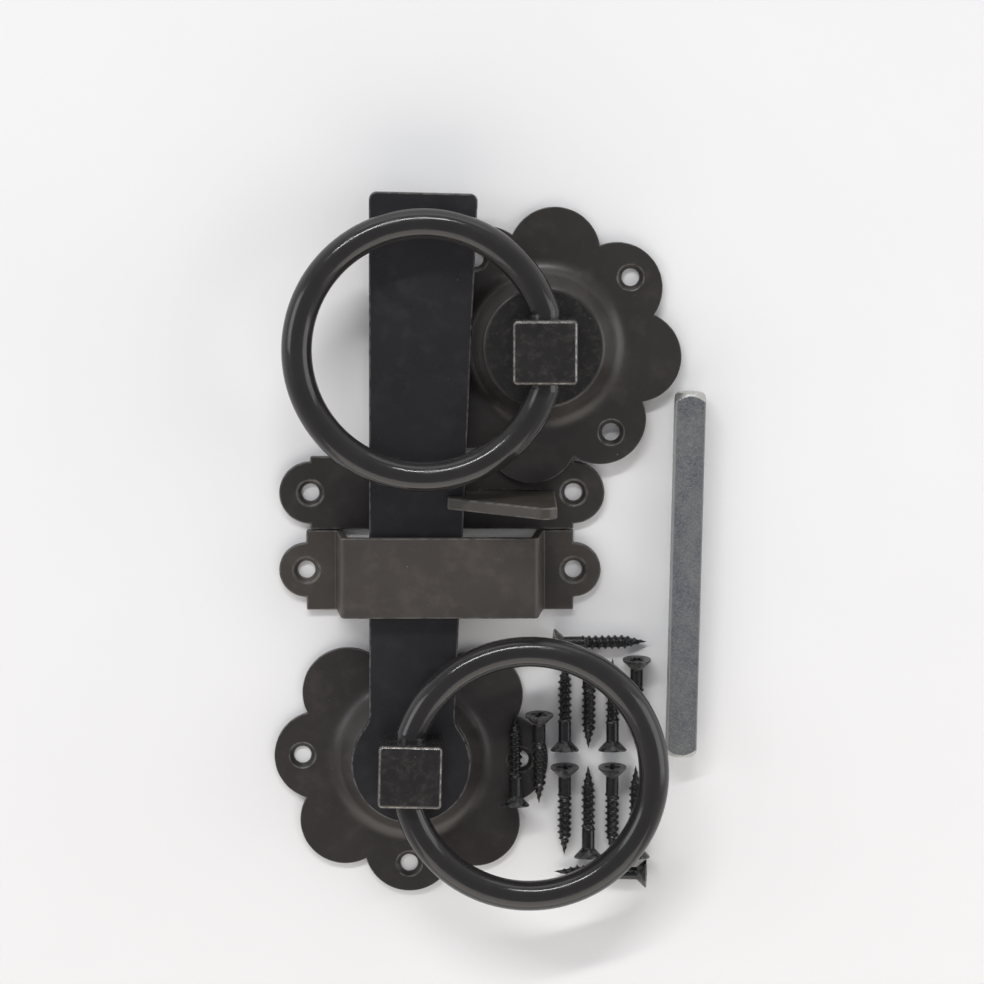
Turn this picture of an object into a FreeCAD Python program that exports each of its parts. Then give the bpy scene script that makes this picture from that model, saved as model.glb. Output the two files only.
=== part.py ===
import FreeCAD, Part
import math
import os

import Sketcher

# A ring gate latch, laid out flat as a set. Millimetres and degrees.
# The origin is the turning axis of the inner handle, on the backs of the plates.
# +Z points out of the plates, and +Y runs along the latch bar to its tip.
SIZES = {
    # Lobed rose plates, one behind each handle
    "rose_lobe_radius": 12.1,
    "rose_lobe_circle": 24.7,
    "rose_lobes": 8,
    "rose_sheet": 1.8,
    "rose_height": 8.0,
    "dome_foot_radius": 20.5,
    "dome_top_radius": 15.8,
    "dome_foot_round": 6.0,
    "dome_top_round": 1.6,
    "rose_screws": 4,
    "rose_screw_circle": 29.25,
    "screw_hole_diameter": 4.6,
    "screw_sink_diameter": 7.0,
    # Handle bosses, with the neck that turns in the rose
    "boss_side": 17.0,
    "boss_height": 16.0,
    "boss_round": 1.3,
    "collar_diameter": 30.0,
    "neck_diameter": 14.6,
    "tail_diameter": 13.2,
    "tail_stake": 1.0,
    "stake_flare": 0.6,
    "running_gap": 0.05,
    "washer_diameter": 22.0,
    "washer_thickness": 1.6,
    # Rings
    "ring_radius": 33.0,
    "ring_bar_diameter": 8.0,
    "ring_side_gap": 0.25,
    # Latch bar
    "bar_length": 152.4,
    "bar_thickness": 3.0,
    "bar_neck_width": 22.2,
    "bar_tip_width": 28.5,
    "bar_corner_round": 2.0,
    "bar_eye_diameter": 31.8,
    "bar_eye_fillet": 6.0,
    "bar_lean": 1.4,
    # Square spindle and the sockets it fits
    "spindle_side": 8.0,
    "spindle_length": 98.0,
    "spindle_end_diameter": 6.8,
    "spindle_lean": 1.1,
    "spindle_drop": 12.3,
    "spindle_gap": 0.3,
    "socket_gap": 0.1,
    "socket_depth": 10.0,
    # Staple that the bar runs through
    "strap_thickness": 2.2,
    "staple_width": 21.5,
    "staple_span": 52.0,
    "staple_splay": 7.0,
    "staple_bend_inside": 0.5,
    "staple_bend_outside": 1.5,
    "staple_hole_spacing": 71.2,
    "staple_ear_radius": 7.3,
    "staple_along_bar": 51.2,
    "bridge_clear": 2.75,
    "lift_room": 5.1,
    # Catch plate and the hook that holds the bar
    "catch_width": 19.5,
    "catch_hole_spacing": 70.0,
    "catch_ear_radius": 8.3,
    "plate_gap": 0.3,
    "hook_below_middle": 1.0,
    "catch_shift": 6.3,
    "hook_thickness": 3.2,
    "hook_height": 36.0,
    "hook_run": 28.5,
    "hook_overlap": 4.8,
    "hook_nose": 2.6,
    "hook_heel_round": 3.0,
    "hook_clear": 0.9,
    "notch_clear": 0.3,
    "tenon_inset": 4.0,
    "tenon_gap": 0.05,
    # Outer handle, beside the bar's tip
    "outer_beside_bar": 35.2,
    "outer_rose_turn": 38.0,
    "inner_rose_turn": -1.3,
    "ring_to_hook": 1.8,
    # Countersunk wood screws, lying loose in the inner ring
    "screw_length": 25.0,
    "screw_head_diameter": 7.6,
    "screw_shank_diameter": 4.0,
    "screw_point": 6.0,
    "screw_head_rim": 0.4,
    "screw_spacing": 0.6,
}

doc = FreeCAD.newDocument("RingGateLatch")
sheet = doc.addObject("Spreadsheet::Sheet", "Sizes")
for row, (alias, size) in enumerate(SIZES.items(), start=1):
    sheet.set(f"A{row}", alias.replace("_", " "))
    sheet.set(f"B{row}", str(size))
    sheet.setAlias(f"B{row}", alias)
doc.recompute()

# Heights that the pieces share, as expressions on the sheet
SEAT = "(Sizes.rose_height + Sizes.running_gap)"
SHOULDER = f"({SEAT} + Sizes.bar_thickness)"
RING_AXIS = f"({SHOULDER} + Sizes.boss_height / 2)"
WASHER_TOP = "(Sizes.rose_height - Sizes.rose_sheet - Sizes.running_gap)"
WASHER_FOOT = f"({WASHER_TOP} - Sizes.washer_thickness)"
TAIL_END = f"({WASHER_FOOT} - Sizes.tail_stake)"
BRIDGE_UNDER = f"({SHOULDER} + Sizes.bridge_clear)"
STAPLE_HEIGHT = f"({BRIDGE_UNDER} + Sizes.strap_thickness)"
ROSE_REACH = "(Sizes.rose_lobe_circle + Sizes.rose_lobe_radius)"
RING_REACH = "(Sizes.ring_radius + Sizes.ring_bar_diameter / 2)"
# The dome's rounded foot runs out on the flat of the plate
DOME_SLOPE = (
    "atan((Sizes.rose_height - Sizes.rose_sheet)"
    " / (Sizes.dome_foot_radius - Sizes.dome_top_radius))"
)
DOME_REACH = f"(Sizes.dome_foot_radius + Sizes.dome_foot_round * tan({DOME_SLOPE} / 2))"
# The ring's bar leaves its curve at an elbow and runs straight through the boss
PIN_HALF = (
    "((Sizes.boss_side / 2 + Sizes.ring_side_gap)"
    " * Sizes.ring_radius / (Sizes.ring_radius - Sizes.ring_bar_diameter / 2))"
)
RING_OFFSET = f"sqrt(Sizes.ring_radius ^ 2 - {PIN_HALF} ^ 2)"
# The catch lies against the staple, a small gap apart
CATCH_ALONG = (
    "(Sizes.staple_along_bar + Sizes.staple_width / 2 + Sizes.plate_gap + Sizes.catch_width / 2)"
)
X_RIGHT = FreeCAD.Vector(1, 0, 0)
Z_UP = FreeCAD.Vector(0, 0, 1)
TINY = 1e-6


def number(text):
    """The value of an expression on the sheet."""
    return float(sheet.evalExpression(text.replace("Sizes.", "")))


def bar_edge(along):
    """Half the bar's width, as an expression, at a distance along it."""
    taper = "(Sizes.bar_tip_width - Sizes.bar_neck_width) / Sizes.bar_length"
    return f"(Sizes.bar_neck_width / 2 + {taper} / 2 * {along})"


def make_body(label):
    body = doc.addObject("PartDesign::Body", label)
    body.Label = label
    return body


def origin_feature(body, role):
    return next(item for item in body.Origin.OriginFeatures if item.Role == role)


def make_sketch(body, name, role="XY_Plane", offset="0"):
    """A sketch on one of the body's own planes, moved along the plane's normal."""
    sketch = body.newObject("Sketcher::SketchObject", name)
    sketch.AttachmentSupport = [(origin_feature(body, role), "")]
    sketch.MapMode = "FlatFace"
    sketch.setExpression(".AttachmentOffset.Base.z", offset)
    return sketch


def locate(sketch, geometry, point, x, y):
    """Tie one point of a sketch to the origin by two expressions."""
    for kind, text in (("DistanceX", x), ("DistanceY", y)):
        rule = Sketcher.Constraint(kind, -1, 1, geometry, point, number(text))
        sketch.setExpression(f"Constraints[{sketch.addConstraint(rule)}]", text)


def draw_polygon(sketch, corners):
    """A closed outline of straight lines through corners given as expressions."""
    points = [FreeCAD.Vector(number(x), number(y), 0) for x, y in corners]
    following = points[1:] + points[:1]
    lines = [sketch.addGeometry(Part.LineSegment(*ends)) for ends in zip(points, following)]
    for line, after in zip(lines, lines[1:] + lines[:1]):
        sketch.addConstraint(Sketcher.Constraint("Coincident", line, 2, after, 1))
    for line, (x, y) in zip(lines, corners):
        locate(sketch, line, 1, x, y)


def draw_rectangle(sketch, wide, high):
    """A rectangle centred on the sketch's origin."""
    right, top = f"{wide} / 2", f"{high} / 2"
    left, foot = f"0 - {wide} / 2", f"0 - {high} / 2"
    draw_polygon(sketch, [(left, foot), (right, foot), (right, top), (left, top)])


def draw_circle(sketch, x, y, diameter):
    centre = FreeCAD.Vector(number(x), number(y), 0)
    circle = sketch.addGeometry(Part.Circle(centre, Z_UP, number(diameter) / 2))
    locate(sketch, circle, 3, x, y)
    rule = sketch.addConstraint(Sketcher.Constraint("Diameter", circle, number(diameter)))
    sketch.setExpression(f"Constraints[{rule}]", diameter)


def finish_feature(body, feature, adds):
    """Rebuild and make sure that the feature changed the volume the right way."""
    before = feature.BaseFeature.Shape.Volume if feature.BaseFeature else 0.0
    doc.recompute()
    change = feature.Shape.Volume - before
    if (change if adds else -change) < TINY:
        raise RuntimeError(f"{body.Label}: {feature.Name} changed nothing")
    body.Tip = feature
    return feature


def pad(body, sketch, length, both_ways=False):
    feature = body.newObject("PartDesign::Pad", f"{sketch.Name}_pad")
    feature.Profile = sketch
    feature.setExpression("Length", length)
    feature.SideType = "Symmetric" if both_ways else "One side"
    return finish_feature(body, feature, adds=True)


def pocket(body, sketch, length, both_ways=False, upward=False):
    """Cut down from the sketch, or up from it."""
    feature = body.newObject("PartDesign::Pocket", f"{sketch.Name}_pocket")
    feature.Profile = sketch
    feature.setExpression("Length", length)
    feature.SideType = "Symmetric" if both_ways else "One side"
    feature.Reversed = upward
    return finish_feature(body, feature, adds=False)


def revolve(body, sketch, kind="Revolution"):
    """Turn a half section about the sketch's upright axis, to add or to cut."""
    feature = body.newObject(f"PartDesign::{kind}", f"{sketch.Name}_turned")
    feature.Profile = sketch
    feature.ReferenceAxis = (sketch, ["V_Axis"])
    feature.Angle = 360
    return finish_feature(body, feature, adds=kind == "Revolution")


def repeat_round(body, original, count):
    feature = body.newObject("PartDesign::PolarPattern", f"{original.Name}_round")
    feature.Originals = [original]
    feature.Axis = (origin_feature(body, "Z_Axis"), [""])
    feature.Angle = 360
    feature.setExpression("Occurrences", count)
    body.Tip = feature
    return finish_feature(body, feature, adds=True)


def countersink(body, sketch):
    """A countersunk screw hole, down from each circle of the sketch."""
    doc.recompute()
    feature = body.newObject("PartDesign::Hole", f"{sketch.Name}_hole")
    feature.Profile = sketch
    doc.recompute()
    feature.DepthType = "ThroughAll"
    feature.setExpression("Diameter", "Sizes.screw_hole_diameter")
    feature.HoleCutType = "Countersink"
    feature.HoleCutCustomValues = True
    feature.setExpression("HoleCutDiameter", "Sizes.screw_sink_diameter")
    feature.HoleCutCountersinkAngle = 90
    return finish_feature(body, feature, adds=False)


def round_edges(body, radius, wanted):
    """Round the edges of the body's tip that a test picks by their middle and bounds."""
    base = body.Tip
    names = [f"Edge{i}" for i, edge in enumerate(base.Shape.Edges, start=1) if wanted(edge)]
    if not names:
        raise RuntimeError(f"{body.Label}: no edge to round")
    feature = body.newObject("PartDesign::Fillet", f"{base.Name}_round")
    feature.Base = (base, names)
    feature.setExpression("Radius", radius)
    doc.recompute()
    body.Tip = feature
    return feature


def near(value, target, slack=0.02):
    return abs(value - target) < slack


def is_ring_at(edge, height, radius):
    """A full circle about the body's own upright axis."""
    box = edge.BoundBox
    flat = near(box.ZMin, height) and near(box.ZMax, height)
    return flat and near(box.XMax, radius) and near(box.XMin, -radius)


def is_upright_at(edge, x, y):
    middle = edge.CenterOfMass
    return edge.BoundBox.ZLength > TINY and near(middle.x, x) and near(middle.y, y)


def place(item, x=0.0, y=0.0, turn=0.0, z=0.0, within=FreeCAD.Placement()):
    """Move a piece and turn it about Z, in the frame of the handle that carries it."""
    own = FreeCAD.Placement(FreeCAD.Vector(x, y, z), FreeCAD.Rotation(Z_UP, turn))
    item.Placement = within.multiply(own)


# Where the pieces lie, from the sizes
lean = number("Sizes.bar_lean")
catch_y = number(CATCH_ALONG)
hook_y = catch_y - number("Sizes.hook_below_middle")
staple_y = number("Sizes.staple_along_bar")
bar_right = number(bar_edge(CATCH_ALONG)) + catch_y * math.tan(math.radians(lean))
bar_left = number(bar_edge("Sizes.staple_along_bar")) - staple_y * math.tan(math.radians(lean))
staple_inside = number("Sizes.staple_span / 2 - Sizes.strap_thickness")
staple_x = staple_inside - number("Sizes.lift_room") - bar_left
notch_x = bar_right + number("Sizes.notch_clear")
catch_x = notch_x - number("Sizes.catch_shift")
hook_side = hook_y + number("Sizes.hook_thickness / 2")
outer_x = number("Sizes.outer_beside_bar")
outer_y = hook_side + number(f"Sizes.ring_to_hook + {RING_REACH}")
# The outer rose lies with one lobe on the catch plate's edge and the far lobe on the floor
catch_edge = catch_y + number("Sizes.catch_width / 2")
rest_length = number(ROSE_REACH) + outer_y - catch_edge
outer_tilt = math.atan(number("Sizes.strap_thickness + Sizes.running_gap") / rest_length)
outer_z = number(ROSE_REACH) * math.sin(outer_tilt)
outer_frame = FreeCAD.Placement(
    FreeCAD.Vector(outer_x, outer_y, outer_z), FreeCAD.Rotation(X_RIGHT, -math.degrees(outer_tilt)))
inner_frame = FreeCAD.Placement()
spindle_clear = number(f"{ROSE_REACH} + Sizes.spindle_gap")
spindle_lean = math.radians(number("Sizes.spindle_lean"))
spindle_half = number("Sizes.spindle_length / 2")
spindle_top_x = outer_x + math.sqrt(spindle_clear ** 2 - number("Sizes.spindle_drop") ** 2)
spindle_x = spindle_top_x + number("Sizes.spindle_side / 2") - spindle_half * math.sin(spindle_lean)
spindle_y = outer_y - number("Sizes.spindle_drop") - spindle_half * math.cos(spindle_lean)


def make_rose(label):
    """Pressed plate with round lobes and a hollow dome that carries the handle's neck."""
    body = make_body(label)
    sheet_top = "Sizes.rose_sheet"
    web = make_sketch(body, f"{label}_web")
    draw_circle(web, "0", "0", "2 * Sizes.rose_lobe_circle")
    pad(body, web, sheet_top)
    lobe = make_sketch(body, f"{label}_lobe")
    draw_circle(lobe, "Sizes.rose_lobe_circle", "0", "2 * Sizes.rose_lobe_radius")
    repeat_round(body, pad(body, lobe, sheet_top), "Sizes.rose_lobes")
    dome = make_sketch(body, f"{label}_dome", "XZ_Plane")
    draw_polygon(dome, [
        ("0", "0"),
        ("Sizes.dome_foot_radius", "0"),
        ("Sizes.dome_foot_radius", sheet_top),
        ("Sizes.dome_top_radius", "Sizes.rose_height"),
        ("0", "Sizes.rose_height"),
    ])
    revolve(body, dome)
    sheet_z, foot = number(sheet_top), number("Sizes.dome_foot_radius")
    height, top = number("Sizes.rose_height"), number("Sizes.dome_top_radius")
    round_edges(body, "Sizes.dome_foot_round", lambda edge: is_ring_at(edge, sheet_z, foot))
    round_edges(body, "Sizes.dome_top_round", lambda edge: is_ring_at(edge, height, top))
    hollow = make_sketch(body, f"{label}_hollow", "XZ_Plane")
    draw_polygon(hollow, [
        ("0", "0"),
        ("Sizes.dome_foot_radius - Sizes.rose_sheet", "0"),
        ("Sizes.dome_top_radius - Sizes.rose_sheet", f"Sizes.rose_height - {sheet_top}"),
        ("Sizes.neck_diameter / 2 + Sizes.running_gap", f"Sizes.rose_height - {sheet_top}"),
        ("Sizes.neck_diameter / 2 + Sizes.running_gap", "Sizes.rose_height"),
        ("0", "Sizes.rose_height"),
    ])
    revolve(body, hollow, "Groove")
    screws = make_sketch(body, f"{label}_screws", offset=sheet_top)
    for screw in range(int(number("Sizes.rose_screws"))):
        angle = f"{screw} * 360 / Sizes.rose_screws"
        x, y = (f"Sizes.rose_screw_circle * {way}({angle})" for way in ("cos", "sin"))
        draw_circle(screws, x, y, "Sizes.screw_hole_diameter")
    countersink(body, screws)
    return body


def make_boss(label, has_collar):
    """Cast square boss on a neck, with a hole for the ring and a socket for the spindle.

    The outer boss has a round collar on the rose; the inner one has a square
    tenon instead, which drives the latch bar.
    """
    body = make_body(label)
    block = make_sketch(body, f"{label}_block", offset=SHOULDER)
    draw_rectangle(block, "Sizes.boss_side", "Sizes.boss_side")
    pad(body, block, "Sizes.boss_height")
    shoulder_z = number(SHOULDER)
    round_edges(body, "Sizes.boss_round", lambda edge: edge.CenterOfMass.z > shoulder_z + TINY)
    seat = make_sketch(body, f"{label}_seat", offset=SEAT)
    if has_collar:
        draw_circle(seat, "0", "0", "Sizes.collar_diameter")
    else:
        draw_rectangle(seat, "Sizes.neck_diameter", "Sizes.neck_diameter")
    pad(body, seat, "Sizes.bar_thickness")
    neck = make_sketch(body, f"{label}_neck", "XZ_Plane")
    tail, neck_radius = "Sizes.tail_diameter / 2", "Sizes.neck_diameter / 2"
    draw_polygon(neck, [
        ("0", TAIL_END),
        (f"{tail} + Sizes.stake_flare", TAIL_END),
        (tail, WASHER_FOOT),
        (tail, WASHER_TOP),
        (neck_radius, WASHER_TOP),
        (neck_radius, SEAT),
        ("0", SEAT),
    ])
    revolve(body, neck)
    ring_hole = make_sketch(body, f"{label}_ring_hole", "XZ_Plane")
    draw_circle(ring_hole, "0", RING_AXIS, "Sizes.ring_bar_diameter + 2 * Sizes.running_gap")
    pocket(body, ring_hole, "2 * Sizes.boss_side", both_ways=True)
    socket = make_sketch(body, f"{label}_socket", offset=TAIL_END)
    socket_side = "(Sizes.spindle_side + 2 * Sizes.socket_gap)"
    draw_rectangle(socket, socket_side, socket_side)
    pocket(body, socket, "Sizes.socket_depth", upward=True)
    return body


def make_washer(label):
    """Plain washer staked on the tail behind the rose."""
    body = make_body(label)
    disc = make_sketch(body, f"{label}_disc", offset=WASHER_FOOT)
    draw_circle(disc, "0", "0", "Sizes.washer_diameter")
    draw_circle(disc, "0", "0", "Sizes.tail_diameter + 2 * Sizes.running_gap")
    pad(body, disc, "Sizes.washer_thickness")
    return body


def make_ring(label):
    """Round ring of one bar, which runs straight where it passes through the boss.

    The ring's own frame has that straight pin along Y through the origin, and the ring on +X.
    """
    bar_radius = "Sizes.ring_bar_diameter / 2"
    half = number(PIN_HALF)
    start = math.degrees(math.asin(half / number("Sizes.ring_radius")))
    hoop = doc.addObject("Part::Torus", f"{label}_hoop")
    hoop.setExpression("Radius1", "Sizes.ring_radius")
    hoop.setExpression("Radius2", bar_radius)
    hoop.setExpression("Angle3", f"360 deg - 2 * asin({PIN_HALF} / Sizes.ring_radius)")
    place(hoop, number(RING_OFFSET), turn=180 + start)
    pin = doc.addObject("Part::Cylinder", f"{label}_pin")
    pin.setExpression("Radius", bar_radius)
    pin.setExpression("Height", f"2 * {PIN_HALF}")
    pin.Placement = FreeCAD.Placement(FreeCAD.Vector(0, -half, 0), FreeCAD.Rotation(X_RIGHT, -90))
    elbows = []
    for side, y in (("near", -half), ("far", half)):
        elbow = doc.addObject("Part::Sphere", f"{label}_{side}_elbow")
        elbow.setExpression("Radius", bar_radius)
        place(elbow, y=y)
        elbows.append(elbow)
    ring = doc.addObject("Part::MultiFuse", label)
    ring.Label = label
    ring.Shapes = [hoop, pin, *elbows]
    ring.Refine = True
    return ring


def make_bar(label):
    """Flat tapered bar with a round eye that sits on the inner boss's square tenon."""
    body = make_body(label)
    eye = make_sketch(body, f"{label}_eye", offset=SEAT)
    draw_circle(eye, "0", "0", "Sizes.bar_eye_diameter")
    pad(body, eye, "Sizes.bar_thickness")
    blade = make_sketch(body, f"{label}_blade", offset=SEAT)
    neck, tip = "Sizes.bar_neck_width / 2", "Sizes.bar_tip_width / 2"
    draw_polygon(blade, [
        (f"0 - {neck}", "0"),
        (neck, "0"),
        (tip, "Sizes.bar_length"),
        (f"0 - {tip}", "Sizes.bar_length"),
    ])
    pad(body, blade, "Sizes.bar_thickness")
    length, half_tip = number("Sizes.bar_length"), number(tip)
    round_edges(body, "Sizes.bar_corner_round", lambda edge: (
        is_upright_at(edge, half_tip, length) or is_upright_at(edge, -half_tip, length)))
    eye_radius = number("Sizes.bar_eye_diameter / 2")

    def is_neck_corner(edge):
        middle = edge.CenterOfMass
        upright = near(edge.BoundBox.XLength, 0) and near(edge.BoundBox.YLength, 0)
        return upright and middle.y > 0 and near(math.hypot(middle.x, middle.y), eye_radius)

    round_edges(body, "Sizes.bar_eye_fillet", is_neck_corner)
    tenon = make_sketch(body, f"{label}_tenon_hole", offset=SEAT)
    tenon_side = "(Sizes.neck_diameter + 2 * Sizes.running_gap)"
    draw_rectangle(tenon, tenon_side, tenon_side)
    pocket(body, tenon, "Sizes.bar_thickness", upward=True)
    return body


def make_spindle(label):
    """Square steel spindle lying along Y, with both ends turned to a blunt cone."""
    body = make_body(label)
    section = make_sketch(body, f"{label}_section", "XZ_Plane")
    draw_rectangle(section, "Sizes.spindle_side", "Sizes.spindle_side")
    pad(body, section, "Sizes.spindle_length", both_ways=True)
    ends = make_sketch(body, f"{label}_ends")
    blunt, clear_of_corners = "Sizes.spindle_end_diameter / 2", "Sizes.spindle_side"
    end = "Sizes.spindle_length / 2"
    cone_foot = f"({end} - ({clear_of_corners} - {blunt}))"
    for way in ("1", "-1"):
        draw_polygon(ends, [
            (blunt, f"{way} * {end}"),
            (clear_of_corners, f"{way} * {end}"),
            (clear_of_corners, f"{way} * {cone_foot}"),
        ])
    revolve(body, ends, "Groove")
    return body


def add_ears(body, label, holes, ear_radius):
    """Round ears at both ends of a plate, each with a countersunk hole."""
    thickness = "Sizes.strap_thickness"
    ears = make_sketch(body, f"{label}_ears")
    sinks = make_sketch(body, f"{label}_sinks", offset=thickness)
    for x in (f"{holes} / 2", f"0 - {holes} / 2"):
        draw_circle(ears, x, "0", f"2 * {ear_radius}")
        draw_circle(sinks, x, "0", "Sizes.screw_hole_diameter")
    pad(body, ears, thickness)
    countersink(body, sinks)


def make_staple(label):
    """Bent strap: a bridge on two splayed legs, with a flat foot and an ear at each end."""
    body = make_body(label)
    thick, top, lean_out = "Sizes.strap_thickness", STAPLE_HEIGHT, "tan(Sizes.staple_splay)"
    across = f"({thick} / cos(Sizes.staple_splay))"
    foot_end = "Sizes.staple_hole_spacing / 2"
    crown = "Sizes.staple_span / 2"
    leg_out = f"({crown} + ({top} - {thick}) * {lean_out})"
    leg_in = f"({crown} + {top} * {lean_out} - {across})"
    crown_in = f"({crown} + {thick} * {lean_out} - {across})"
    right = [
        (foot_end, "0"),
        (foot_end, thick),
        (leg_out, thick),
        (crown, top),
    ]
    inner_right = [(crown_in, f"{top} - {thick}"), (leg_in, "0")]

    def mirrored(corners):
        return [(f"0 - {x}", z) for x, z in reversed(corners)]

    strip = make_sketch(body, f"{label}_strip", "XZ_Plane")
    draw_polygon(strip, right + mirrored(right) + mirrored(inner_right) + inner_right)
    pad(body, strip, "Sizes.staple_width", both_ways=True)
    width = number("Sizes.staple_width")
    foot_x, height, sheet_z = number(foot_end), number(top), number(thick)

    def is_bend(edge, heights):
        box = edge.BoundBox
        lengthwise = near(box.YLength, width) and near(box.XLength, 0) and near(box.ZLength, 0)
        return lengthwise and abs(box.XMin) < foot_x - sheet_z and any(near(box.ZMin, z) for z in heights)

    round_edges(body, "Sizes.staple_bend_inside", lambda edge: is_bend(edge, (height - sheet_z, sheet_z)))
    round_edges(body, "Sizes.staple_bend_outside", lambda edge: is_bend(edge, (height, 0.0)))
    add_ears(body, label, "Sizes.staple_hole_spacing", "Sizes.staple_ear_radius")
    return body


def make_catch_plate(label):
    """Flat plate with an ear at each end and a slot for the hook's tenon."""
    body = make_body(label)
    flat = make_sketch(body, f"{label}_flat")
    draw_rectangle(flat, "Sizes.catch_hole_spacing", "Sizes.catch_width")
    pad(body, flat, "Sizes.strap_thickness")
    add_ears(body, label, "Sizes.catch_hole_spacing", "Sizes.catch_ear_radius")
    slot = make_sketch(body, f"{label}_slot")
    start = "(Sizes.catch_shift + Sizes.tenon_inset - Sizes.tenon_gap)"
    end = (
        "(Sizes.catch_shift - Sizes.hook_overlap + Sizes.hook_run"
        " - Sizes.tenon_inset + Sizes.tenon_gap)"
    )
    side = "Sizes.hook_thickness / 2 + Sizes.tenon_gap"
    low, high = f"0 - Sizes.hook_below_middle - ({side})", f"{side} - Sizes.hook_below_middle"
    draw_polygon(slot, [(start, low), (end, low), (end, high), (start, high)])
    pocket(body, slot, "Sizes.strap_thickness", upward=True)
    return body


def make_hook(label):
    """Upright fin with a sloping front edge; its nose hangs over the bar.

    The hook's own X starts at the notch wall, where the bar rests.
    """
    body = make_body(label)
    fin = make_sketch(body, f"{label}_fin", "XZ_Plane")
    heel = "(Sizes.hook_run - Sizes.hook_overlap)"
    under = f"({SHOULDER} + Sizes.hook_clear)"
    nose = "(0 - Sizes.hook_overlap)"
    plate = "Sizes.strap_thickness"
    draw_polygon(fin, [
        ("0", plate),
        ("0", under),
        (nose, under),
        (nose, f"{under} + Sizes.hook_nose"),
        (heel, "Sizes.hook_height"),
        (heel, plate),
        (f"{heel} - Sizes.tenon_inset", plate),
        (f"{heel} - Sizes.tenon_inset", "0"),
        ("Sizes.tenon_inset", "0"),
        ("Sizes.tenon_inset", plate),
    ])
    pad(body, fin, "Sizes.hook_thickness", both_ways=True)
    heel_x, top = number(heel), number("Sizes.hook_height")
    round_edges(body, "Sizes.hook_heel_round", lambda edge: (
        near(edge.CenterOfMass.x, heel_x) and near(edge.CenterOfMass.z, top)))
    return body


def make_screw_form():
    """Half section of one countersunk wood screw, turned about its own axis.

    The head's flat face is at the origin, and the point is on -Z.
    """
    body = make_body("screw_form")
    section = make_sketch(body, "screw_section", "XZ_Plane")
    head, shank = "Sizes.screw_head_diameter / 2", "Sizes.screw_shank_diameter / 2"
    rim = "Sizes.screw_head_rim"
    draw_polygon(section, [
        ("0", "0"),
        (head, "0"),
        (head, f"0 - {rim}"),
        (shank, f"0 - {rim} - ({head} - {shank})"),
        (shank, "Sizes.screw_point - Sizes.screw_length"),
        (f"{rim} / 2", "0 - Sizes.screw_length"),
        ("0", "0 - Sizes.screw_length"),
    ])
    revolve(body, section)
    return body


def lay_screws(label):
    """The loose screws, as one group: two on the inner rose, the rest beside it."""
    form = make_screw_form()
    head, shank = number("Sizes.screw_head_diameter / 2"), number("Sizes.screw_shank_diameter / 2")
    length, gap, rim = (number(f"Sizes.screw_{name}") for name in ("length", "spacing", "head_rim"))
    # Lying down, a screw rests on its head's rim and on the end of its thread
    straight = length - number("Sizes.screw_point")
    droop = math.atan((head - shank) / (straight - rim))
    rise = head * math.cos(droop) + rim * math.sin(droop)
    # Neighbours lie head to tail
    pitch = head + shank + gap
    row_y = (length + head + gap) / 2
    across_y = row_y + length / 2 + head + gap
    plate_x = number(DOME_REACH) + head + gap
    floor_x = number(ROSE_REACH) + head + gap
    sheet_z = number("Sizes.rose_sheet")
    # Each place is the middle of a screw, and the way that its point lies
    places = [(plate_x + pitch * i, 0.0, sheet_z, 90 - 180 * i) for i in range(2)]
    for column in range(4):
        for row, y in enumerate((row_y, -row_y)):
            places.append((floor_x + pitch * column, y, 0.0, 90 - 180 * ((column + row) % 2)))
    across_x = floor_x + pitch * 1.5
    places += [(across_x, across_y, 0.0, 0), (across_x, -across_y, 0.0, 180)]
    lying_down = FreeCAD.Rotation(FreeCAD.Vector(0, 1, 0), math.degrees(droop) - 90)
    lying = []
    for x, y, z, heading in places:
        turn = FreeCAD.Rotation(Z_UP, heading)
        half = turn.multVec(FreeCAD.Vector(length / 2, 0, 0))
        screw = form.Shape.copy()
        base = FreeCAD.Vector(x, y, z + rise) - half
        screw.Placement = FreeCAD.Placement(base, turn.multiply(lying_down))
        lying.append(screw)
    group = doc.addObject("Part::Feature", label)
    group.Label = label
    group.Shape = Part.makeCompound(lying)
    return group


def build():
    """Make and place every piece, and return them in order."""
    pieces = []
    sides = (
        ("inner", inner_frame, number("Sizes.inner_rose_turn"), -lean, -lean),
        ("outer", outer_frame, number("Sizes.outer_rose_turn"), 0.0, 180.0),
    )
    for side, frame, rose_turn, boss_turn, ring_turn in sides:
        rose = make_rose(f"{side}_rose")
        place(rose, turn=rose_turn, within=frame)
        boss = make_boss(f"{side}_boss", has_collar=side == "outer")
        washer = make_washer(f"{side}_washer")
        for piece in (boss, washer):
            place(piece, turn=boss_turn, within=frame)
        ring = make_ring(f"{side}_ring")
        place(ring, z=number(RING_AXIS), turn=ring_turn, within=frame)
        pieces += [rose, boss, washer, ring]
    bar = make_bar("latch_bar")
    place(bar, turn=-lean)
    spindle = make_spindle("spindle")
    place(spindle, spindle_x, spindle_y, -number("Sizes.spindle_lean"), number("Sizes.spindle_side / 2"))
    staple = make_staple("staple")
    place(staple, staple_x, staple_y)
    plate = make_catch_plate("catch_plate")
    place(plate, catch_x, catch_y)
    hook = make_hook("catch_hook")
    place(hook, notch_x, hook_y)
    return pieces + [bar, spindle, staple, plate, hook, lay_screws("screws")]


pieces = build()
doc.recompute()
for item in doc.Objects:
    if "Invalid" in item.State or "Error" in item.State:
        raise RuntimeError(f"{item.Name} failed: {item.State}")
for piece in pieces:
    if piece.Shape.isNull() or not piece.Shape.isValid():
        raise RuntimeError(f"{piece.Label} has no valid shape")

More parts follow.
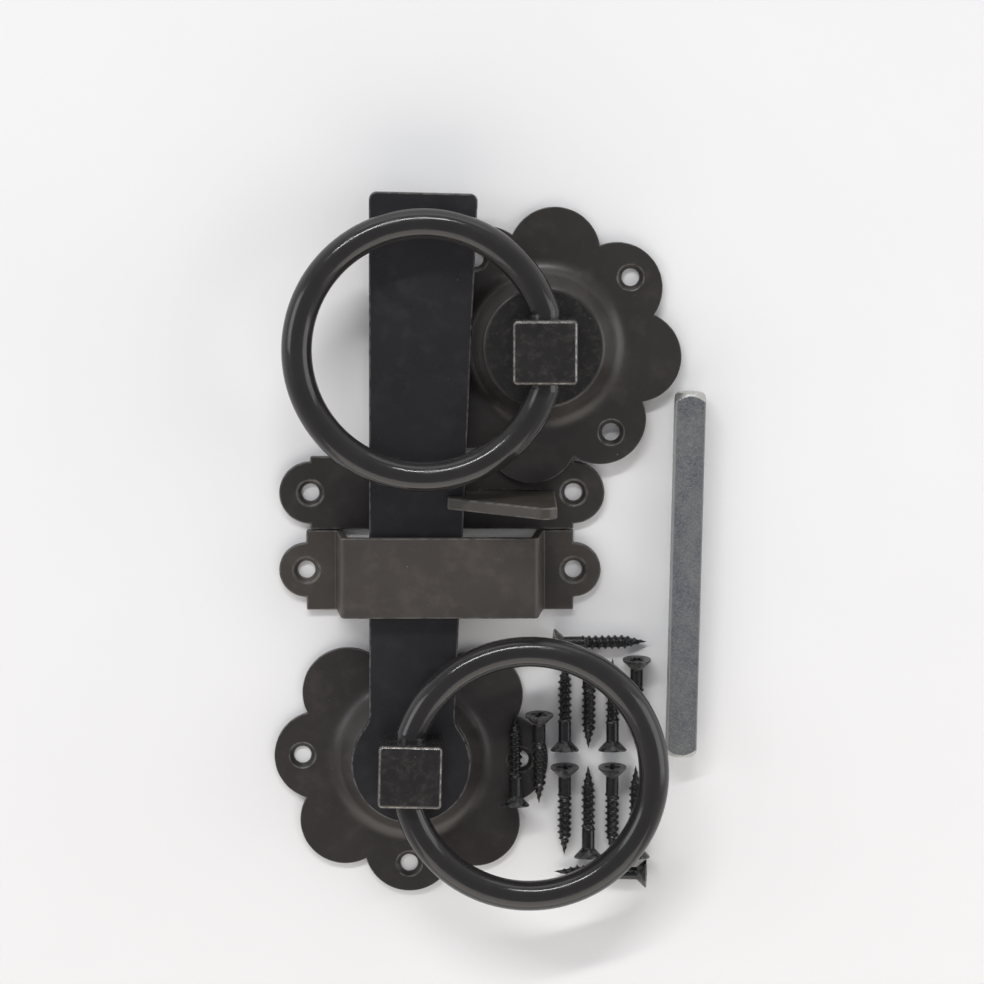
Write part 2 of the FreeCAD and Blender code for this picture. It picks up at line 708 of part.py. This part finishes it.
os.makedirs("parts", exist_ok=True)
for piece in pieces:
    piece.Shape.exportStep(f"parts/{piece.Label}.step")
    box = piece.Shape.BoundBox
    print(f"{piece.Label}: {len(piece.Shape.Solids)} solid, {piece.Shape.Volume:.1f} mm3,"
          f" x {box.XMin:.2f}..{box.XMax:.2f} y {box.YMin:.2f}..{box.YMax:.2f}"
          f" z {box.ZMin:.2f}..{box.ZMax:.2f}")
print(f"outer handle {outer_x:.4f}, {outer_y:.4f}, {outer_z:.4f} tilt {math.degrees(outer_tilt):.4f}")
print(f"staple {staple_x:.3f}, {staple_y:.3f}; catch {catch_x:.3f}, {catch_y:.3f}")
print(f"ring axis height {number(RING_AXIS):.3f}")
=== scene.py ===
import math
import random

import bmesh
import bpy
import numpy as np
from mathutils import Matrix, Vector


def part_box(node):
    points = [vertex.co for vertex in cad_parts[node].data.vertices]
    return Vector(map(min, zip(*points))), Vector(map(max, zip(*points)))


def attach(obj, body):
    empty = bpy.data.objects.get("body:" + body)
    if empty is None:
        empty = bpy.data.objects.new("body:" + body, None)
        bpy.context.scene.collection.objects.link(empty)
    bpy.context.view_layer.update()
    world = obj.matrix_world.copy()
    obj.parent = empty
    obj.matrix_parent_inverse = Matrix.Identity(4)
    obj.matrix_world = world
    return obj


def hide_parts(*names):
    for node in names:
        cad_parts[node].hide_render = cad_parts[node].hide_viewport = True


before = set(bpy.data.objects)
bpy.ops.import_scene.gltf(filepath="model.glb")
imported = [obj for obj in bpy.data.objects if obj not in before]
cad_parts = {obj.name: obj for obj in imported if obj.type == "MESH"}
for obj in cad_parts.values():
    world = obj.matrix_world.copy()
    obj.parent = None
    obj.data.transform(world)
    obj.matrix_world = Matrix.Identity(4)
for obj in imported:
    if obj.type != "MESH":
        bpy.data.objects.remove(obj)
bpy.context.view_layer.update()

MM = 0.001

# Where the photograph was taken from: above the set, a little past its upper edge
CAMERA_PLACE = Vector((13.2, 220.7, 1000.0)) * MM
CAMERA_AIM = Vector((21.7, 71.9, 0.0)) * MM
PICTURE_WIDTH = 262.4 * MM
SENSOR_WIDTH = 36.0

# Edges eased on the sheet and bar pieces, as stamping and coating leave them
ROSE_EASE = 0.25 * MM
BAR_EASE = 0.45 * MM
STRAP_EASE = 0.40 * MM
HOOK_EASE = 0.50 * MM
SPINDLE_EASE = 0.50 * MM
EASE_STEPS = 3

# Points closer than the weld are one, faces within the flat angle are one, and edges turned by more
# than the crease angle are sharp
WELD = 0.001 * MM
FLAT_ANGLE = math.radians(0.5)
CREASE_ANGLE = math.radians(28)

# The handles' square bosses stand above this height
BOSS_FOOT = 12.5 * MM

# The square spindle: its middle, half its thickness, how it leans, its end towards the bar's tip, and
# how far in from its sides the long edges start to be painted lighter and are painted fully, partly
# wear and partly a painted highlight
SPINDLE_LOW, SPINDLE_HIGH = (Vector(corner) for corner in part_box("spindle"))
SPINDLE_MIDDLE = (SPINDLE_LOW + SPINDLE_HIGH) / 2
SPINDLE_HALF = SPINDLE_HIGH.z - SPINDLE_MIDDLE.z
SPINDLE_LEAN = math.radians(1.1)
SPINDLE_TOP = SPINDLE_HIGH.y
SPINDLE_WEAR_SHEEN_START = 0.50 * MM
SPINDLE_BRIGHT = 0.20 * MM

# Wood screws: the thread's and the shank's radii, the head's height and its upright rim, the plain
# share of the length, and the taper at the point
SCREW_PITCH = 1.75 * MM
SCREW_CORE = 1.35 * MM
SCREW_CREST = 1.98 * MM
SCREW_SHANK = 0.86 * SCREW_CREST
SCREW_RIM = 0.40 * MM
SCREW_HEAD_HEIGHT = 2.6 * MM
SCREW_PLAIN_SHARE = 0.30
SCREW_POINT = 6.0 * MM

# The cross recess in the screw's head
RECESS_HALF_WIDTH = 0.55 * MM
RECESS_REACH = 2.1 * MM
RECESS_DEPTH = 1.7 * MM
RECESS_WALL = 0.35 * MM

# How finely a screw is drawn, how wide its ridge is in a pitch, and where its crest is worn
SCREW_SIDES = 40
ROWS_PER_PITCH = 9
RECESS_RINGS = 15
CREST_SHARE = 0.30
SCREW_WORN = 0.92 * SCREW_CREST

# The screws' solids: points this near to an end lie on it, and each screw is turned by chance
SCREW_END = 0.05 * MM
SCREW_SEED = 11

# The pale board under the set, a hair below it
FLOOR_REACH = 3.0
FLOOR_TOP = -0.02 * MM

# The room's glow from level with the set to overhead
ROOM_GLOW = [
    (0.0, (0.80, 0.78, 0.75, 1)),
    (0.4, (0.44, 0.44, 0.45, 1)),
    (1.0, (0.23, 0.235, 0.26, 1)),
]

# The mesh attribute that marks eased edges and worn rims
RIM = "rim"


class Signal:
    """One output socket of a finish; arithmetic on it adds Math nodes."""

    def __init__(self, finish, socket):
        self.finish = finish
        self.socket = socket

    def _math(self, operation, *values):
        return self.finish.node("ShaderNodeMath", {"operation": operation}, dict(enumerate(values)))

    def __add__(self, other):
        return self._math("ADD", self, other)

    def __radd__(self, other):
        return self._math("ADD", other, self)

    def __sub__(self, other):
        return self._math("SUBTRACT", self, other)

    def __rsub__(self, other):
        return self._math("SUBTRACT", other, self)

    def __mul__(self, other):
        return self._math("MULTIPLY", self, other)

    def __rmul__(self, other):
        return self._math("MULTIPLY", other, self)

    def __truediv__(self, other):
        return self._math("DIVIDE", self, other)

    def __gt__(self, limit):
        return self._math("GREATER_THAN", self, limit)

    def __pow__(self, power):
        return self._math("POWER", self, power)


class Finish:
    """The nodes of one material, or of the world, while they are put together."""

    def __init__(self, tree):
        self.tree = tree
        self.tree.nodes.clear()

    def node(self, kind, settings=None, sockets=None, output=0):
        """Adds a node: its settings first, then the values or links of its sockets."""
        made = self.tree.nodes.new(kind)
        for name, value in (settings or {}).items():
            if name == "stops":
                self._set_stops(made.color_ramp.elements, value)
            else:
                setattr(made, name, value)
        for key, value in (sockets or {}).items():
            if isinstance(value, Signal):
                self.tree.links.new(value.socket, made.inputs[key])
            else:
                made.inputs[key].default_value = value
        return Signal(self, made.outputs[output]) if made.outputs else None

    def _set_stops(self, elements, stops):
        while len(elements) < len(stops):
            elements.new(1.0)
        for element, (position, colour) in zip(elements, stops):
            element.position = position
            element.color = colour

    def place(self, stretch=(1, 1, 1)):
        """Where a point lies on the piece, stretched to draw a grain out along an axis."""
        here = self.node("ShaderNodeTexCoord", output="Object")
        return self.node("ShaderNodeVectorMath", {"operation": "MULTIPLY"}, {0: here, 1: stretch})

    def noise(self, grain, detail=3.0, stretch=(1, 1, 1), roughness=0.55):
        """Soft random mottle whose blotches are about one grain across."""
        sockets = {
            "Vector": self.place(stretch), "Scale": 1 / grain, "Detail": detail, "Roughness": roughness,
        }
        return self.node("ShaderNodeTexNoise", sockets=sockets)

    def step(self, value, low, high):
        """A smooth step from 0 at low to 1 at high."""
        sockets = {"Value": value, "From Min": low, "From Max": high}
        return self.node("ShaderNodeMapRange", {"interpolation_type": "SMOOTHSTEP"}, sockets)

    def specks(self, spacing, radius, share):
        """Small round specks: a share of the cells, each with one speck of about the radius."""
        sockets = {"Vector": self.place(), "Scale": 1 / spacing, "Randomness": 1.0}
        distance = self.node("ShaderNodeTexVoronoi", sockets=sockets, output="Distance")
        colour = self.node("ShaderNodeTexVoronoi", sockets=sockets, output="Color")
        chance = self.node("ShaderNodeSeparateColor", sockets={0: colour}, output=0)
        size = self.node("ShaderNodeSeparateColor", sockets={0: colour}, output=1)
        near = 1 - self.step(distance - size * (radius / spacing), 0.0, 0.35 * radius / spacing)
        return near * (chance > 1 - share)

    def rim(self):
        """1 on the eased edges of a piece and 0 on the rest of it."""
        return self.node("ShaderNodeAttribute", {"attribute_name": RIM}, output="Fac")

    def facing(self, axis):
        """How far the surface faces along one axis of the piece, from -1 to 1."""
        normal = self.node("ShaderNodeTexCoord", output="Normal")
        return self.node("ShaderNodeSeparateXYZ", sockets={0: normal}, output=axis)

    def along(self, axis):
        """How far a point lies along one axis of the piece, in metres."""
        return self.node("ShaderNodeSeparateXYZ", sockets={0: self.place()}, output=axis)

    def blend(self, share, under, over):
        """The under colour with a share of the over colour on it."""
        return self.node(
            "ShaderNodeMix", {"data_type": "RGBA"}, {0: share, 6: under, 7: over}, output=2)

    def bump(self, height, depth, strength):
        """A surface normal tipped by a height signal of the given depth in metres."""
        sockets = {"Height": height, "Distance": depth, "Strength": strength}
        return self.node("ShaderNodeBump", sockets=sockets)

    def coat(self, **sockets):
        """Ends the finish with one principled surface."""
        named = {name.replace("_", " "): value for name, value in sockets.items()}
        surface = self.node("ShaderNodeBsdfPrincipled", sockets=named)
        self.node("ShaderNodeOutputMaterial", sockets={"Surface": surface})


def shaded(tone, share):
    """A colour made lighter or darker."""
    return (*(part * share for part in tone), 1)


def new_finish(name):
    """A material and the finish that fills it."""
    material = bpy.data.materials.new(name)
    material.use_nodes = True
    return material, Finish(material.node_tree)


def black_coat(name, tone, gloss):
    """Satin black paint on pressed steel: faint orange peel, dust, and eased edges painted lighter in
    patches, partly wear and partly a painted edge highlight.
    """
    material, make = new_finish(name)
    cloud = make.noise(14 * MM, detail=4)
    haze = make.step(make.noise(6 * MM, detail=6, roughness=0.65), 0.46, 0.72)
    peel = make.noise(0.9 * MM, detail=2)
    grain = make.noise(0.24 * MM, detail=2)
    dust = make.specks(2.6 * MM, 0.11 * MM, 0.30)
    lint = make.specks(7.0 * MM, 0.22 * MM, 0.22)
    # The eased edges get a lighter tone in patches: partly wear, partly a painted highlight along the
    # edge.
    pale_rim = make.rim() * make.step(make.noise(2.2 * MM), 0.32, 0.62)
    paint = make.blend(cloud, shaded(tone, 0.75), shaded(tone, 1.15))
    paint = make.blend(haze * 0.35 + make.step(grain, 0.50, 0.75) * 0.20, paint, shaded(tone, 1.9))
    paint = make.blend(pale_rim * 0.50, paint, (0.17, 0.160, 0.150, 1))
    paint = make.blend(dust * 0.35 + lint * 0.45, paint, (0.30, 0.29, 0.27, 1))
    make.coat(
        Base_Color=paint,
        Roughness=gloss + (cloud - 0.5) * 0.14 + haze * 0.08 + (grain - 0.5) * 0.12 + dust * 0.3,
        Normal=make.bump(peel + grain * 0.25, 0.025 * MM, 0.5),
    )
    return material


def ring_casting():
    """Glossy black on the rings: long soft waves, a few pits and specks of dust."""
    material, make = new_finish("ring_casting")
    cloud = make.noise(9 * MM, detail=4)
    waves = make.noise(5.0 * MM, detail=2)
    grain = make.noise(0.25 * MM, detail=3)
    dust = make.specks(2.2 * MM, 0.10 * MM, 0.25)
    pits = make.specks(1.9 * MM, 0.09 * MM, 0.30)
    haze = make.step(make.noise(6.0 * MM, detail=5), 0.45, 0.72)
    paint = make.blend(cloud, (0.015, 0.014, 0.0150, 1), (0.027, 0.025, 0.0245, 1))
    paint = make.blend(dust * 0.35, paint, (0.28, 0.27, 0.26, 1))
    make.coat(
        Base_Color=paint,
        Roughness=0.14 + haze * 0.12 + (grain - 0.5) * 0.06 + dust * 0.3,
        Normal=make.bump(waves * 2.2 + grain * 0.10 - pits * 0.4, 0.05 * MM, 0.45),
    )
    return material


def boss_casting():
    """Black castings that have been handled: smeared faces, and a bright rim on the rounded top edge
    that is partly wear and partly a painted highlight.
    """
    material, make = new_finish("boss_casting")
    cloud = make.noise(5 * MM, detail=4)
    smear = make.step(make.noise(2.4 * MM, detail=7, roughness=0.70), 0.44, 0.80)
    dust = make.specks(2.0 * MM, 0.15 * MM, 0.35)
    waves = make.noise(3.0 * MM, detail=2)
    grain = make.noise(0.22 * MM, detail=3)
    pits = make.specks(1.6 * MM, 0.11 * MM, 0.35)
    # The rounded edge round the top face, above the collar, is painted lighter and part metallic:
    # partly wear, partly a painted highlight.
    upright = make.facing(2)
    round_over = (1 - make.step(upright, 0.82, 0.93)) * make.step(upright, 0.55, 0.72)
    above_collar = make.step(make.along(2), BOSS_FOOT, BOSS_FOOT + MM)
    rim_wear_and_sheen = round_over * above_collar * (0.22 + 0.78 * make.step(make.noise(1.4 * MM), 0.34, 0.66))
    paint = make.blend(cloud, (0.010, 0.0095, 0.0100, 1), (0.024, 0.022, 0.0210, 1))
    paint = make.blend(smear * 0.6, paint, (0.062, 0.055, 0.048, 1))
    paint = make.blend(dust * 0.40, paint, (0.22, 0.20, 0.18, 1))
    paint = make.blend(rim_wear_and_sheen * 0.72, paint, (0.36, 0.335, 0.31, 1))
    make.coat(
        Base_Color=paint,
        Metallic=rim_wear_and_sheen * 0.6,
        Roughness=0.20 + smear * 0.24 + (grain - 0.5) * 0.12 + dust * 0.3,
        Normal=make.bump(waves * 1.5 + grain * 0.2 - pits * 0.5, 0.05 * MM, 0.5),
    )
    return material


def zinc_steel():
    """Zinc plated steel: pale grain, cloudy patches, a pitted end, and long edges and cut ends painted
    bright, partly wear and bare metal, partly a painted highlight.
    """
    material, make = new_finish("zinc_steel")
    cloud = make.step(make.noise(8 * MM, detail=4, stretch=(1, 0.6, 1)), 0.38, 0.64)
    speckle = make.step(make.noise(0.34 * MM, detail=3, roughness=0.7), 0.36, 0.66)
    mottle = make.noise(1.6 * MM, detail=4)
    lines = make.noise(0.4 * MM, detail=2, stretch=(1, 0.04, 1))
    at_end = make.step(make.along(1), SPINDLE_TOP - 9 * MM, SPINDLE_TOP - 3 * MM)
    pits = make.step(make.noise(0.8 * MM, detail=4), 0.50, 0.66) * (0.25 + 0.75 * at_end)
    # Faces turned along the spindle's length, its cut ends and its end chamfer, are painted brighter
    # and smoother: partly bare cut metal, partly a painted highlight.
    cut_end_and_sheen = make.step(make.facing(1) ** 2, 0.20, 0.40)
    # The long edges are painted lighter: partly wear, partly a painted highlight.
    across = (make.along(0) - SPINDLE_MIDDLE.x) * math.cos(SPINDLE_LEAN)
    across = across - (make.along(1) - SPINDLE_MIDDLE.y) * math.sin(SPINDLE_LEAN)
    upward = make.along(2) - SPINDLE_MIDDLE.z
    near_edge = [((SPINDLE_HALF - inset) / MM) ** 2 for inset in (SPINDLE_WEAR_SHEEN_START, SPINDLE_BRIGHT)]
    long_edge_wear_and_sheen = make.step((across / MM) ** 2, *near_edge) * make.step((upward / MM) ** 2, *near_edge)
    metal = make.blend(cloud, (0.165, 0.182, 0.205, 1), (0.245, 0.252, 0.250, 1))
    metal = make.blend(speckle * 0.55, metal, (0.46, 0.47, 0.47, 1))
    metal = make.blend(pits * 0.60, metal, (0.060, 0.062, 0.070, 1))
    metal = make.blend(long_edge_wear_and_sheen * 0.75, metal, (0.62, 0.61, 0.59, 1))
    metal = make.blend(cut_end_and_sheen * 0.85, metal, (0.56, 0.555, 0.535, 1))
    make.coat(
        Base_Color=metal,
        Metallic=0.90,
        Roughness=0.44 + (mottle - 0.5) * 0.25 + pits * 0.15 - cut_end_and_sheen * 0.16 - long_edge_wear_and_sheen * 0.10,
        Normal=make.bump(speckle * 0.5 + lines * 0.3 - pits * 0.6, 0.03 * MM, 0.5),
    )
    return material


def black_screw():
    """Thin glossy black on hardened screws, worn grey on the thread's crest."""
    material, make = new_finish("black_screw")
    cloud = make.noise(1.5 * MM, detail=4)
    grain = make.noise(0.12 * MM, detail=2)
    pale_rim = make.rim() * make.step(cloud, 0.35, 0.60)
    paint = make.blend(cloud, (0.010, 0.010, 0.011, 1), (0.022, 0.022, 0.023, 1))
    paint = make.blend(pale_rim * 0.30, paint, (0.22, 0.22, 0.22, 1))
    make.coat(
        Base_Color=paint,
        Metallic=0.25,
        Roughness=0.28 + (cloud - 0.5) * 0.2 + (grain - 0.5) * 0.1,
        Normal=make.bump(cloud + grain * 0.3, 0.02 * MM, 0.4),
    )
    return material


def pale_floor():
    """Matt white board."""
    material, make = new_finish("pale_floor")
    tone = make.noise(60 * MM, detail=3)
    fibre = make.noise(0.4 * MM, detail=3)
    make.coat(
        Base_Color=make.blend(tone, (0.88, 0.88, 0.88, 1), (0.91, 0.91, 0.91, 1)),
        Roughness=0.75 + (fibre - 0.5) * 0.1,
        Normal=make.bump(fibre, 0.02 * MM, 0.3),
    )
    return material


def new_piece(name, points, faces, rims, finish, body, node):
    """A mesh piece that rides on a body and stands for the node; rims has a value for each face."""
    mesh = bpy.data.meshes.new(name)
    mesh.from_pydata(points, [], faces)
    mesh.attributes.new(RIM, "FLOAT", "FACE").data.foreach_set("value", rims)
    mesh.validate()
    mesh.shade_smooth()
    mesh.set_sharp_from_angle(angle=CREASE_ANGLE)
    mesh.materials.append(finish)
    piece = bpy.data.objects.new(name, mesh)
    bpy.context.scene.collection.objects.link(piece)
    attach(piece, body)
    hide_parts(node)
    return piece


def welded(node):
    """The node's form as one connected mesh with its flat faces whole."""
    form = bmesh.new()
    form.from_mesh(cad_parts[node].data)
    bmesh.ops.remove_doubles(form, verts=form.verts, dist=WELD)
    return form


def eased_piece(node, body, finish, ease):
    """The node's own form with its sharp edges rounded over."""
    form = welded(node)
    bmesh.ops.dissolve_limit(form, angle_limit=FLAT_ANGLE, verts=form.verts, edges=form.edges)
    sharp = [
        edge for edge in form.edges
        if len(edge.link_faces) == 2 and edge.calc_face_angle() > CREASE_ANGLE
    ]
    eased = bmesh.ops.bevel(
        form, geom=sharp, offset=ease, segments=EASE_STEPS, profile=0.5, affect="EDGES",
        clamp_overlap=True)
    rounded = set(eased["faces"])
    form.verts.index_update()
    points = [vertex.co.copy() for vertex in form.verts]
    faces = [[vertex.index for vertex in face.verts] for face in form.faces]
    rims = [float(face in rounded) for face in form.faces]
    form.free()
    piece = new_piece(node + "_eased", points, faces, rims, finish, body, node)
    even = piece.modifiers.new("even_shading", "WEIGHTED_NORMAL")
    even.keep_sharp = True


def solids_of(node):
    """The points of each separate solid in a node, in the order that the node holds them."""
    form = welded(node)
    form.verts.index_update()
    seen = set()
    solids = []
    for start in form.verts:
        if start.index in seen:
            continue
        seen.add(start.index)
        waiting = [start]
        points = []
        while waiting:
            vertex = waiting.pop()
            points.append(vertex.co[:])
            for edge in vertex.link_edges:
                other = edge.other_vert(vertex)
                if other.index not in seen:
                    seen.add(other.index)
                    waiting.append(other)
        solids.append(np.array(points))
    form.free()
    return solids


def screw_seat(points):
    """Head centre, direction to the point, length and head radius of one screw."""
    middle = points.mean(axis=0)
    rough_axis = np.linalg.svd(points - middle, full_matrices=False)[2][0]
    along = (points - middle) @ rough_axis
    ends = [points[np.abs(along - end) < SCREW_END] for end in (along.min(), along.max())]
    tip, head = sorted(ends, key=lambda end: np.ptp(end, axis=0).max())
    tip, head = tip.mean(axis=0), head.mean(axis=0)
    length = np.linalg.norm(tip - head)
    direction = (tip - head) / length
    across = points - head - np.outer((points - head) @ direction, direction)
    return head, direction, length, np.linalg.norm(across, axis=1).max()


def recess_depth(x, y):
    """How deep the cross recess is at a point of the head's face."""
    long_way, short_way = max(abs(x), abs(y)), min(abs(x), abs(y))
    inside = min(RECESS_REACH - long_way, RECESS_HALF_WIDTH - short_way)
    return RECESS_DEPTH * min(1.0, max(0.0, inside / RECESS_WALL))


def screw_radius(along, angle, length, head_radius):
    """Radius of the screw at a distance from its head's face: head, shank, thread and point."""
    if along <= SCREW_RIM:
        return head_radius
    if along < SCREW_HEAD_HEIGHT:
        share = (along - SCREW_RIM) / (SCREW_HEAD_HEIGHT - SCREW_RIM)
        return head_radius + (SCREW_SHANK - head_radius) * share
    if along < length * SCREW_PLAIN_SHARE:
        return SCREW_SHANK
    to_point = min(1.0, (length - along) / SCREW_POINT)
    turn = (along / SCREW_PITCH - angle / math.tau) % 1.0
    ridge = max(0.0, 1 - abs(turn - 0.5) / CREST_SHARE)
    run_in = min(1.0, (along - length * SCREW_PLAIN_SHARE) / SCREW_PITCH)
    core = SCREW_SHANK + (SCREW_CORE - SCREW_SHANK) * run_in
    return (core + (SCREW_CREST - core) * ridge) * to_point


def screw_form(length, head_radius):
    """Points, faces and worn rims of one screw, its head's face at the origin, its point on +Z."""
    angles = [math.tau * side / SCREW_SIDES for side in range(SCREW_SIDES)]
    points = [(0.0, 0.0, RECESS_DEPTH)]
    for ring in range(1, RECESS_RINGS + 1):
        radius = head_radius * ring / RECESS_RINGS
        for angle in angles:
            x, y = radius * math.cos(angle), radius * math.sin(angle)
            points.append((x, y, recess_depth(x, y)))
    steps = math.ceil((length - SCREW_RIM) / SCREW_PITCH * ROWS_PER_PITCH)
    rows = RECESS_RINGS + steps
    for step in range(steps):
        along = SCREW_RIM + (length - SCREW_RIM) * step / steps
        for angle in angles:
            radius = screw_radius(along, angle, length, head_radius)
            points.append((radius * math.cos(angle), radius * math.sin(angle), along))
    points.append((0.0, 0.0, length))
    faces = []
    for side in range(SCREW_SIDES):
        after = (side + 1) % SCREW_SIDES
        faces.append((0, 1 + after, 1 + side))
        for row in range(rows - 1):
            near, far = 1 + row * SCREW_SIDES, 1 + (row + 1) * SCREW_SIDES
            faces.append((near + side, near + after, far + after, far + side))
        last = 1 + (rows - 1) * SCREW_SIDES
        faces.append((last + side, last + after, len(points) - 1))
    points = np.array(points)
    radii = np.hypot(points[:, 0], points[:, 1])
    rims = [float(radii[list(face)].min() > SCREW_WORN) for face in faces]
    return points, faces, rims


def wood_screws(finish):
    """Threaded screws with cross recesses, one on the axis of each screw of the group."""
    draw = random.Random(SCREW_SEED)
    points, faces, rims = [], [], []
    for solid in solids_of("screws"):
        head, direction, length, head_radius = screw_seat(solid)
        form, form_faces, form_rims = screw_form(length, head_radius)
        turn = Vector(direction).to_track_quat("Z", "Y").to_matrix()
        turn = turn @ Matrix.Rotation(draw.uniform(0, math.tau), 3, "Z")
        first = len(points)
        points.extend(form @ np.array(turn).T + head)
        faces.extend([index + first for index in face] for face in form_faces)
        rims.extend(form_rims)
    new_piece("wood_screws", points, faces, rims, finish, "plates", "screws")


def dress_nodes(finish, *nodes):
    """Gives CAD nodes whose form stays as it is their finish."""
    for node in nodes:
        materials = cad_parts[node].data.materials
        materials.clear()
        materials.append(finish)


def add_floor():
    """A wide pale board under the set."""
    sides = [(-1, -1), (1, -1), (1, 1), (-1, 1)]
    corners = [(x * FLOOR_REACH, y * FLOOR_REACH, FLOOR_TOP) for x, y in sides]
    mesh = bpy.data.meshes.new("floor")
    mesh.from_pydata(corners, [], [(0, 1, 2, 3)])
    mesh.materials.append(pale_floor())
    floor = bpy.data.objects.new("floor", mesh)
    bpy.context.scene.collection.objects.link(floor)


def add_lamp(name, place, size, power, tint=(1, 1, 1)):
    """A soft square lamp that faces the middle of the set."""
    lamp = bpy.data.lights.new(name, "AREA")
    lamp.shape = "RECTANGLE"
    lamp.size, lamp.size_y = size
    lamp.energy = power
    lamp.color = tint
    holder = bpy.data.objects.new(name, lamp)
    holder.location = place
    holder.rotation_euler = (CAMERA_AIM - Vector(place)).to_track_quat("-Z", "Y").to_euler()
    holder.visible_camera = False
    bpy.context.scene.collection.objects.link(holder)


def add_light():
    """Soft panels and one bright strip around the set, in a dim room that is paler low down."""
    add_lamp("strip_lamp", (-0.44, 1.74, 1.62), (1.87, 0.12), 26.0)
    add_lamp("near_panel", (0.05, -1.25, 0.72), (2.4, 1.30), 14.0, (1.0, 0.92, 0.84))
    add_lamp("far_panel", (0.00, 3.20, 0.56), (3.6, 1.10), 11.6, (0.97, 0.98, 1.0))
    add_lamp("left_panel", (-1.10, 0.30, 0.70), (0.5, 0.6), 2.5, (0.96, 0.98, 1.0))
    add_lamp("right_panel", (1.10, 0.10, 0.50), (0.8, 0.8), 3.8)
    world = bpy.data.worlds.new("studio")
    world.use_nodes = True
    bpy.context.scene.world = world
    room = Finish(world.node_tree)
    direction = room.node("ShaderNodeTexCoord", output="Generated")
    height = room.node("ShaderNodeSeparateXYZ", sockets={0: direction}, output=2)
    shade = room.node("ShaderNodeValToRGB", {"stops": ROOM_GLOW}, {"Fac": height})
    glow = room.node("ShaderNodeBackground", sockets={"Color": shade, "Strength": 1.0})
    room.node("ShaderNodeOutputWorld", sockets={"Surface": glow})


def add_camera():
    """Looks down on the set with +Y up the picture."""
    lens = bpy.data.cameras.new("camera")
    back = CAMERA_PLACE - CAMERA_AIM
    lens.sensor_width = SENSOR_WIDTH
    lens.lens = SENSOR_WIDTH * back.length / PICTURE_WIDTH
    towards_eye = back.normalized()
    right = Vector((0, 1, 0)).cross(towards_eye).normalized()
    up = towards_eye.cross(right)
    camera = bpy.data.objects.new("camera", lens)
    facing = Matrix((right, up, towards_eye)).transposed().to_4x4()
    camera.matrix_world = Matrix.Translation(CAMERA_PLACE) @ facing
    bpy.context.scene.collection.objects.link(camera)
    bpy.context.scene.camera = camera


plate_black = black_coat("black_coat", (0.030, 0.0258, 0.0240), 0.34)
# The staple and hook get a lighter, rougher copy of the same black; the lighter tone is a painted
# reflection.
strap_black_lit = black_coat("black_strap_lit", (0.050, 0.0430, 0.0380), 0.46)
bar_black = black_coat("black_bar", (0.018, 0.0175, 0.0195), 0.30)
zinc, screw_black = zinc_steel(), black_screw()
dress_nodes(plate_black, "inner_rose", "outer_rose", "latch_bar", "staple", "catch_plate", "catch_hook")
dress_nodes(boss_casting(), "inner_boss", "outer_boss")
dress_nodes(ring_casting(), "inner_ring", "outer_ring")
dress_nodes(zinc, "inner_washer", "outer_washer", "spindle")
dress_nodes(screw_black, "screws")
eased_piece("inner_rose", "plates", plate_black, ROSE_EASE)
eased_piece("outer_rose", "plates", plate_black, ROSE_EASE)
eased_piece("latch_bar", "inner_handle", bar_black, BAR_EASE)
eased_piece("staple", "plates", strap_black_lit, STRAP_EASE)
eased_piece("catch_plate", "plates", plate_black, STRAP_EASE)
eased_piece("catch_hook", "plates", strap_black_lit, HOOK_EASE)
eased_piece("spindle", "plates", zinc, SPINDLE_EASE)
wood_screws(screw_black)
add_floor()
add_light()
add_camera()
bpy.context.scene.view_settings.view_transform = "Standard"
